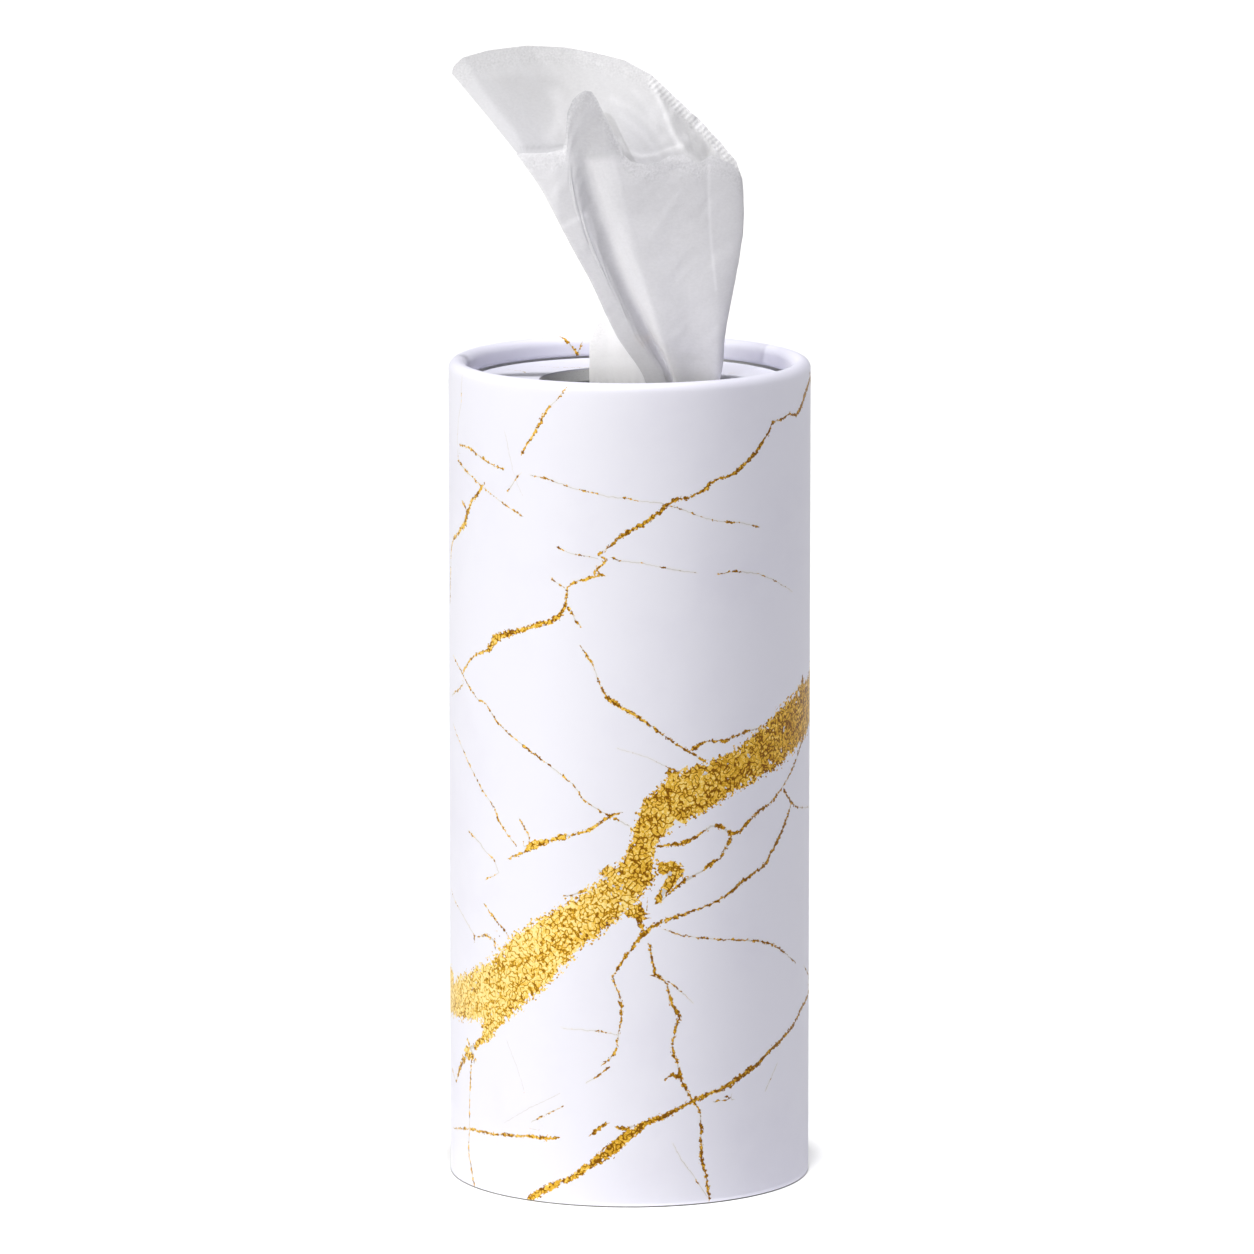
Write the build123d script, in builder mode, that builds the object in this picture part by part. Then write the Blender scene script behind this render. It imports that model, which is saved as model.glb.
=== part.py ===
"""Round tissue canister for a car's cup holder: a paperboard tube with a turned-in rim, a recessed
lift-out lid with a round opening, a rolled refill of folded tissues, one tissue pulled up through the
opening and the next one following it. Millimetres, +Z up, origin at the centre of the foot."""

from build123d import *
import math
import os

os.makedirs("parts", exist_ok=True)

# Driving dimensions of the tube
body_diameter = 70.0
body_height = 160.0
wrap_thickness = 0.25  # printed paper
board_thickness = 1.45  # spiral-wound greyboard
liner_thickness = 0.25  # white paper inside
bare_foot = 0.25  # board that shows below the printed paper
turn_in_depth = 3.8  # rim's top to the cut edge of the wall that is folded inwards
neck_thickness = 2.85
neck_height = 16.0

# Driving dimensions of the base
base_recess = 1.2
base_board_thickness = 2.0
base_lining_thickness = 0.25
base_collar_thickness = 1.5
base_collar_height = 8.0

# Driving dimensions of the lid
lid_recess = 4.1  # rim's top to the lid's face
lid_board_thickness = 2.0
lid_gap = 0.35  # all round, between the lid and the mouth
lid_edge_radius = 0.85
opening_diameter = 35.0
plug_height = 9.0
plug_thickness = 1.5
plug_clearance = 0.15
plug_seat_margin = 0.05  # the paper turned under the lid ends this far inside the plug
lining_thickness = 0.2
lining_gap = 0.1

# Driving dimensions of the refill and the two loose tissues
head_clearance = 9.0  # from the refill to the lid's plug
roll_clearance = 0.7  # to the neck that it is loaded through
stack_thickness = 8.6
turn_gap = 0.4
roll_half_turns = 3
tissue_thickness = 0.8  # a soft solid's thickness, round a gathered three-ply sheet
tissue_clearance = 0.5  # to the opening and to the refill's core
tail_length = 70.0  # gathered part inside the refill's core
fan_height = 61.2  # the pulled tissue's highest point above the rim
fan_reach = 34.8  # its left tip from the axis
next_height = 17.0  # the next tissue's highest point above the rim

# Radii that follow
body_radius = body_diameter / 2
board_outer = body_radius - wrap_thickness
board_inner = board_outer - board_thickness
fold_inner = board_inner - board_thickness
mouth_radius = fold_inner - wrap_thickness
liner_inner = board_inner - liner_thickness
neck_radius = liner_inner - neck_thickness
lid_radius = mouth_radius - lid_gap
lid_board_radius = lid_radius - wrap_thickness
opening_radius = opening_diameter / 2
plug_outer = neck_radius - plug_clearance
plug_inner = plug_outer - plug_thickness
roll_radius = neck_radius - roll_clearance
turn_pitch = stack_thickness + turn_gap
core_radius = roll_radius - (roll_half_turns - 1) * turn_pitch / 2 - stack_thickness

# Heights that follow
rim_arc_z = body_height - wrap_thickness - board_thickness
turn_in_z = body_height - turn_in_depth
lid_top = body_height - lid_recess
lid_board_top = lid_top - wrap_thickness
lid_board_bottom = lid_board_top - lid_board_thickness
lid_bottom = lid_board_bottom - wrap_thickness
plug_bottom = lid_bottom - plug_height
base_board_z = base_recess + base_lining_thickness
base_top = base_board_z + base_board_thickness
roll_top = plug_bottom - head_clearance

# Folds of the tissue that is pulled up, from its left edge along the back, round the right-hand fold and
# back along the front. In the opening they are shares of its free radius.
FOLDS_IN_OPENING = [
    (0.235, 0.035), (0.41, 0.075), (0.59, 0.015), (0.765, 0.07), (0.965, 0.02), (0.98, -0.085),
    (0.91, -0.155), (0.705, -0.12), (0.565, -0.215), (0.48, -0.12), (0.21, -0.19),
]
# Above the rim they are shares of fan_reach, keyed by the height as a share of fan_height
FOLDS_ABOVE = {
    0.196: [
        (-0.172, 0.011), (0, 0.04), (0.172, 0.006), (0.374, 0.04), (0.557, 0.006), (0.569, -0.052),
        (0.477, -0.098), (0.287, -0.075), (0.132, -0.149), (0.029, -0.075), (-0.178, -0.126),
    ],
    0.49: [
        (-0.44, 0), (-0.23, 0.101), (-0.086, 0.158), (0.23, 0.086), (0.621, 0.046), (0.632, -0.04),
        (0.46, -0.126), (0.172, -0.098), (-0.043, -0.19), (-0.187, -0.086), (-0.448, -0.129),
    ],
    0.735: [
        (-0.727, -0.029), (-0.431, 0.086), (-0.23, 0.216), (0.057, 0.115), (0.649, 0.057), (0.661, -0.029),
        (0.431, -0.132), (0.086, -0.121), (-0.115, -0.201), (-0.273, -0.121), (-0.736, -0.149),
    ],
    1.03: [
        (-1.18, -0.029), (-0.575, 0.057), (-0.259, 0.23), (0.057, 0.101), (0.69, 0.052), (0.701, -0.034),
        (0.431, -0.149), (0.086, -0.138), (-0.172, -0.224), (-0.402, -0.138), (-1.19, -0.155),
    ],
}
# The back layer's top edge as seen from the front: tip, arc, arc, right-hand corner, right-hand side
BACK_EDGE = [(-1.0, 0.923), (-0.58, 1.0), (-0.032, 0.956), (0.305, 0.833), (0.603, 0.636), (1.293, -0.065)]
# The front layer stops lower, along this line
FRONT_EDGE = [(-1.293, 0.67), (-0.402, 0.67), (-0.259, 0.735), (-0.057, 0.645), (0.23, 0.605), (1.293, 0.637)]
FRONT_LAYER = 0.057  # the front layer lies nearer the viewer than this
TAIL_SHIFT = 0.6  # in the core the folds stand round the axis

# Folds of the next tissue, which follows behind it, in shares of the same lengths
NEXT_IN_OPENING = [(-0.445, 0.19), (-0.18, 0.33), (0.12, 0.20), (0.41, 0.33), (0.68, 0.20)]
NEXT_ABOVE = {
    0.294: [
        (-0.227, 0.095), (-0.086, 0.184), (0.086, 0.112), (0.259, 0.184), (0.402, 0.103),
    ],
}
# Its top edge from the front, keyed to next_height: left foot, arc, top, right
NEXT_EDGE = [(-0.247, 0.06), (-0.136, 0.541), (0.086, 1.0), (0.417, 0.53)]
NEXT_TAIL_SHIFT = 0.1


def ribbon(centres, thickness):
    """Closed outline of a folded sheet: the fold points moved half a thickness to each side."""
    left, right = [], []
    for i, (x, y) in enumerate(centres):
        before = centres[max(i - 1, 0)]
        after = centres[min(i + 1, len(centres) - 1)]
        along = [Vector(x - before[0], y - before[1]), Vector(after[0] - x, after[1] - y)]
        along = [run.normalized() for run in along if run.length > 0]
        mean = sum(along[1:], along[0]).normalized()
        reach = thickness / 2 / max(0.5, mean.dot(along[0]))
        left.append((x - mean.Y * reach, y + mean.X * reach))
        right.append((x + mean.Y * reach, y - mean.X * reach))
    return left + right[::-1]


def tissue_levels(in_opening, above, tail_shift):
    """Heights and fold points from the tail's lower end in the refill's core to above the rim."""
    free_opening = opening_radius - tissue_clearance
    free_core = core_radius - tissue_clearance
    through = [(x * free_opening, y * free_opening) for x, y in in_opening]
    tail = [((x - tail_shift) * free_core, y * free_core) for x, y in in_opening]
    levels = [(roll_top - tail_length, tail), (roll_top, tail), (lid_bottom, through), (lid_top, through)]
    for share, folds in above.items():
        spread = [(x * fan_reach, y * fan_reach) for x, y in folds]
        levels.append((body_height + share * fan_height, spread))
    return levels


def seen_from_front(edge, height):
    """Points of an edge above the rim, across and up, from their shares."""
    return [(x * fan_reach, body_height + z * height) for x, z in edge]


def ring(outer, inner, low, high):
    """Plain ring between two heights, inside the part that is being built."""
    on_base = (Align.CENTER, Align.CENTER, Align.MIN)
    with Locations((0, 0, low)):
        Cylinder(outer, high - low, align=on_base)
        Cylinder(inner, high - low, align=on_base, mode=Mode.SUBTRACT)


def write(piece, name):
    piece.part.label = name
    export_step(piece.part, f"parts/{name}.step")


# Tube: board wall whose top edge is folded inwards and down
with BuildPart() as tube_wall:
    with BuildSketch(Plane.XZ):
        with BuildLine():
            Polyline((fold_inner, rim_arc_z), (fold_inner, turn_in_z), (board_inner, turn_in_z),
                     (board_inner, 0), (board_outer, 0), (board_outer, rim_arc_z))
            CenterArc((board_inner, rim_arc_z), board_thickness, 0, 180)
        make_face()
    revolve(axis=Axis.Z)
write(tube_wall, "tube_wall")

# Printed paper over the outside, the rim and the turned-in wall
with BuildPart() as printed_wrap:
    with BuildSketch(Plane.XZ):
        with BuildLine():
            Line((board_outer, bare_foot), (body_radius, bare_foot))
            Line((body_radius, bare_foot), (body_radius, rim_arc_z))
            CenterArc((board_inner, rim_arc_z), board_thickness + wrap_thickness, 0, 180)
            Polyline((mouth_radius, rim_arc_z), (mouth_radius, turn_in_z), (fold_inner, turn_in_z),
                     (fold_inner, rim_arc_z))
            CenterArc((board_inner, rim_arc_z), board_thickness, 0, 180)
            Line((board_outer, rim_arc_z), (board_outer, bare_foot))
        make_face()
    revolve(axis=Axis.Z)
write(printed_wrap, "printed_wrap")

# White paper on the inside of the wall
with BuildPart() as inner_liner:
    ring(board_inner, liner_inner, 0, turn_in_z)
write(inner_liner, "inner_liner")

# Neck ring glued inside the mouth: the lid stands on it
with BuildPart() as neck_ring:
    ring(liner_inner, neck_radius, lid_bottom - neck_height, lid_bottom)
    chamfer(neck_ring.edges().filter_by(GeomType.CIRCLE).group_by(SortBy.RADIUS)[0], plug_clearance)
write(neck_ring, "neck_ring")

# Base: white paper below, board, and the collar that holds them to the wall
with BuildPart() as base_lining:
    with BuildSketch(Plane.XY.offset(base_recess)):
        Circle(liner_inner)
    extrude(amount=base_lining_thickness)
write(base_lining, "base_lining")

with BuildPart() as base_board:
    with BuildSketch(Plane.XY.offset(base_board_z)):
        Circle(liner_inner)
    extrude(amount=base_board_thickness)
write(base_board, "base_board")

with BuildPart() as base_collar:
    ring(liner_inner, liner_inner - base_collar_thickness, base_top, base_top + base_collar_height)
write(base_collar, "base_collar")

# Lid: board disc with the round opening
with BuildPart() as lid_board:
    ring(lid_board_radius, opening_radius, lid_board_bottom, lid_board_top)
    outer_edges = lid_board.edges().filter_by(GeomType.CIRCLE).group_by(SortBy.RADIUS)[-1]
    fillet(outer_edges.sort_by(Axis.Z)[-1], lid_edge_radius - wrap_thickness)
write(lid_board, "lid_board")

# Printed paper on the lid's face, turned round its edge and under it
with BuildPart() as lid_wrap:
    edge_x = lid_radius - lid_edge_radius
    edge_z = lid_top - lid_edge_radius
    strip_inner = plug_inner - plug_seat_margin
    with BuildSketch(Plane.XZ):
        with BuildLine():
            Polyline((opening_radius, lid_board_top), (opening_radius, lid_top), (edge_x, lid_top))
            CenterArc((edge_x, edge_z), lid_edge_radius, 0, 90)
            Polyline((lid_radius, edge_z), (lid_radius, lid_bottom), (strip_inner, lid_bottom),
                     (strip_inner, lid_board_bottom), (lid_board_radius, lid_board_bottom),
                     (lid_board_radius, edge_z))
            CenterArc((edge_x, edge_z), lid_edge_radius - wrap_thickness, 0, 90)
            Line((edge_x, lid_board_top), (opening_radius, lid_board_top))
        make_face()
    revolve(axis=Axis.Z)
write(lid_wrap, "lid_wrap")

# White paper under the lid, inside the turned strip
with BuildPart() as lid_lining:
    ring(strip_inner - lining_gap, opening_radius, lid_board_bottom - lining_thickness, lid_board_bottom)
write(lid_lining, "lid_lining")

# Plug ring glued under the lid, a sliding fit in the neck
with BuildPart() as plug_ring:
    ring(plug_outer, plug_inner, plug_bottom, lid_bottom)
    lower_edges = plug_ring.edges().filter_by(GeomType.CIRCLE).group_by(Axis.Z)[0]
    chamfer(lower_edges.sort_by(SortBy.RADIUS)[-1], plug_thickness / 4)
write(plug_ring, "plug_ring")

# Refill: a stack of folded tissues rolled up, its two faces running as half turns about two centres
with BuildPart() as tissue_roll:
    with BuildSketch(Plane.XY.offset(base_top)):
        with BuildLine():
            for half in range(roll_half_turns):
                centre = (-turn_pitch / 2 if half % 2 else 0, 0)
                outer_face = roll_radius - half * turn_pitch / 2
                start = 180 * (half % 2)
                CenterArc(centre, outer_face, start, 180)
                CenterArc(centre, outer_face - stack_thickness, start, 180)
            Line((roll_radius - stack_thickness, 0), (roll_radius, 0))
            last_x = centre[0] - outer_face if roll_half_turns % 2 else centre[0] + outer_face
            Line((last_x, 0), (last_x + math.copysign(stack_thickness, -last_x), 0))
        make_face()
    extrude(amount=roll_top - base_top)
write(tissue_roll, "tissue_roll")

# Tissue pulled up through the opening: two layers joined at the right-hand fold
with BuildPart() as popped_tissue:
    for level, folds in tissue_levels(FOLDS_IN_OPENING, FOLDS_ABOVE, TAIL_SHIFT):
        with BuildSketch(Plane.XY.offset(level)):
            with BuildLine():
                Polyline(*ribbon(folds, tissue_thickness), close=True)
            make_face()
    loft(ruled=True)
    tip, arc_1, joint, arc_2, corner, side = seen_from_front(BACK_EDGE, fan_height)
    with BuildSketch(Plane.XZ.offset(body_diameter)):
        with BuildLine():
            Line((tip[0], 0), tip)
            ThreePointArc(tip, arc_1, joint)
            ThreePointArc(joint, arc_2, corner)
            Polyline(corner, side, (side[0], 0), (tip[0], 0))
        make_face()
    extrude(amount=-2 * body_diameter, mode=Mode.INTERSECT)
    front_edge = seen_from_front(FRONT_EDGE, fan_height)
    over = body_height + 2 * fan_height
    with BuildSketch(Plane.XZ.offset(body_diameter)):
        with BuildLine():
            Polyline(*front_edge, (front_edge[-1][0], over), (front_edge[0][0], over), close=True)
        make_face()
    extrude(amount=-body_diameter + FRONT_LAYER * fan_reach, mode=Mode.SUBTRACT)
write(popped_tissue, "popped_tissue")

# Next tissue, already drawn up behind it
with BuildPart() as next_tissue:
    for level, folds in tissue_levels(NEXT_IN_OPENING, NEXT_ABOVE, NEXT_TAIL_SHIFT):
        with BuildSketch(Plane.XY.offset(level)):
            with BuildLine():
                Polyline(*ribbon(folds, tissue_thickness), close=True)
            make_face()
    loft(ruled=True)
    foot, bend, top, side = seen_from_front(NEXT_EDGE, next_height)
    with BuildSketch(Plane.XZ.offset(body_diameter)):
        with BuildLine():
            Polyline((-fan_reach, 0), (-fan_reach, foot[1]), foot)
            ThreePointArc(foot, bend, top)
            Polyline(top, side, (fan_reach, 0), (-fan_reach, 0))
        make_face()
    extrude(amount=-2 * body_diameter, mode=Mode.INTERSECT)
write(next_tissue, "next_tissue")
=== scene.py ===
"""Dresses the tissue canister: marble-and-gold printed paper, greyboard and white board, the recessed lid,
the rolled refill, and the two loose tissues as thin folded sheets. Metres, +Z up, viewer on the -Y side."""

import bpy
import math
import numpy as np
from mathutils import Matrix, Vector


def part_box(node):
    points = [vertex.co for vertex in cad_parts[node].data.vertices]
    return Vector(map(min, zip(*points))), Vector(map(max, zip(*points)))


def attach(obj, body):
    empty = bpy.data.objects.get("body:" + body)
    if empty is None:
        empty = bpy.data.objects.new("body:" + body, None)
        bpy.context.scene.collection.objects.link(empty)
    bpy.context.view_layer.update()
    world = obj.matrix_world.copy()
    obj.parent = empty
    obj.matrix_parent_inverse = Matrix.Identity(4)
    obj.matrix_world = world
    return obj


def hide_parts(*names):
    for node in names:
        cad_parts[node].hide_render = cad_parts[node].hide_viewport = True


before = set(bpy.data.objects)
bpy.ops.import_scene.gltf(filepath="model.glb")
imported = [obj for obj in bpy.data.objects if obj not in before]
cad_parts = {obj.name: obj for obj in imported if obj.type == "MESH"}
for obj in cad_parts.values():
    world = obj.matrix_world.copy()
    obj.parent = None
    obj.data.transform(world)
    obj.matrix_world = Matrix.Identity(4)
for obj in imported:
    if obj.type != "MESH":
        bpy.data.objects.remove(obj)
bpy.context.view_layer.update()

MM = 0.001
PHOTO_SIZE = 1254  # pixels, both ways

# Sizes read from the frame's CAD nodes
wrap_low, wrap_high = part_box("printed_wrap")
_, wall_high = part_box("tube_wall")
roll_low, roll_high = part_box("tissue_roll")
body_radius = wrap_high[0]
body_height = wrap_high[2]
foot_edge = wrap_low[2]
wrap_thickness = body_radius - wall_high[0]

# Sizes that the boxes don't give
board_thickness = 1.45 * MM
turn_in_depth = 3.8 * MM

# Camera: where it stands, what it looks at and its lens. Lens and aim are fitted to the tube's outline.
CAMERA_PLACE = (0.0, -1.882, 0.429)
CAMERA_TARGET = (-0.0005, 0.0, 0.10737)
CAMERA_LENS = 282.4
SENSOR_WIDTH = 36.0
AXIS_PIXEL = 629.2  # where the photograph shows the tube's axis
VIEW_SCALE = 1.016  # how much wider this lens shows the tube, at the photograph's height for it


class Nodes:
    """Short names for building a material's node tree."""

    def __init__(self, name):
        self.material = bpy.data.materials.new(name)
        self.material.use_nodes = True
        self.tree = self.material.node_tree
        self.shader = self.tree.nodes["Principled BSDF"]

    def new(self, kind, inputs=None, **settings):
        node = self.tree.nodes.new(kind)
        for key, value in settings.items():
            setattr(node, key, value)
        for key, value in (inputs or {}).items():
            self.feed(node.inputs[key], value)
        return node

    def feed(self, socket, value):
        if isinstance(value, bpy.types.NodeSocket):
            self.tree.links.new(value, socket)
        else:
            socket.default_value = value

    def math(self, operation, a, b=0.0, c=0.0, clamp=False):
        node = self.new("ShaderNodeMath", {0: a, 1: b, 2: c}, operation=operation, use_clamp=clamp)
        return node.outputs[0]

    def ramp01(self, value, low, high):
        """0 below low, 1 above high, smooth between."""
        node = self.new("ShaderNodeMapRange", {"Value": value, "From Min": low, "From Max": high},
                        interpolation_type="SMOOTHSTEP")
        return node.outputs["Result"]

    def mix(self, share, a, b):
        node = self.new("ShaderNodeMix", data_type="RGBA")
        self.feed(node.inputs["Factor"], share)
        self.feed(node.inputs[6], a)
        self.feed(node.inputs[7], b)
        return node.outputs[2]

    def millimetres(self, stretch=(1, 1, 1)):
        """The piece's own coordinates in millimetres."""
        place = self.new("ShaderNodeTexCoord").outputs["Object"]
        scale = [1 / MM * s for s in stretch]
        return self.new("ShaderNodeMapping", {"Vector": place, "Scale": scale}).outputs[0]

    def noise(self, per_mm, detail=2.0, roughness=0.5, stretch=(1, 1, 1)):
        where = self.millimetres(stretch)
        inputs = {"Vector": where, "Scale": per_mm, "Detail": detail, "Roughness": roughness}
        return self.new("ShaderNodeTexNoise", inputs).outputs["Fac"]

    def cells(self, per_mm, feature="F1"):
        inputs = {"Vector": self.millimetres(), "Scale": per_mm}
        return self.new("ShaderNodeTexVoronoi", inputs, feature=feature)

    def attribute(self, name):
        return self.new("ShaderNodeAttribute", attribute_name=name).outputs["Vector"]

    def bump(self, height, strength, depth_mm):
        inputs = {"Height": height, "Strength": strength, "Distance": depth_mm * MM}
        return self.new("ShaderNodeBump", inputs).outputs["Normal"]

    def set(self, **values):
        for key, value in values.items():
            self.feed(self.shader.inputs[key.replace("_", " ")], value)


def grey(value, blue=0.0):
    return (value, value, value + blue, 1.0)


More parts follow.
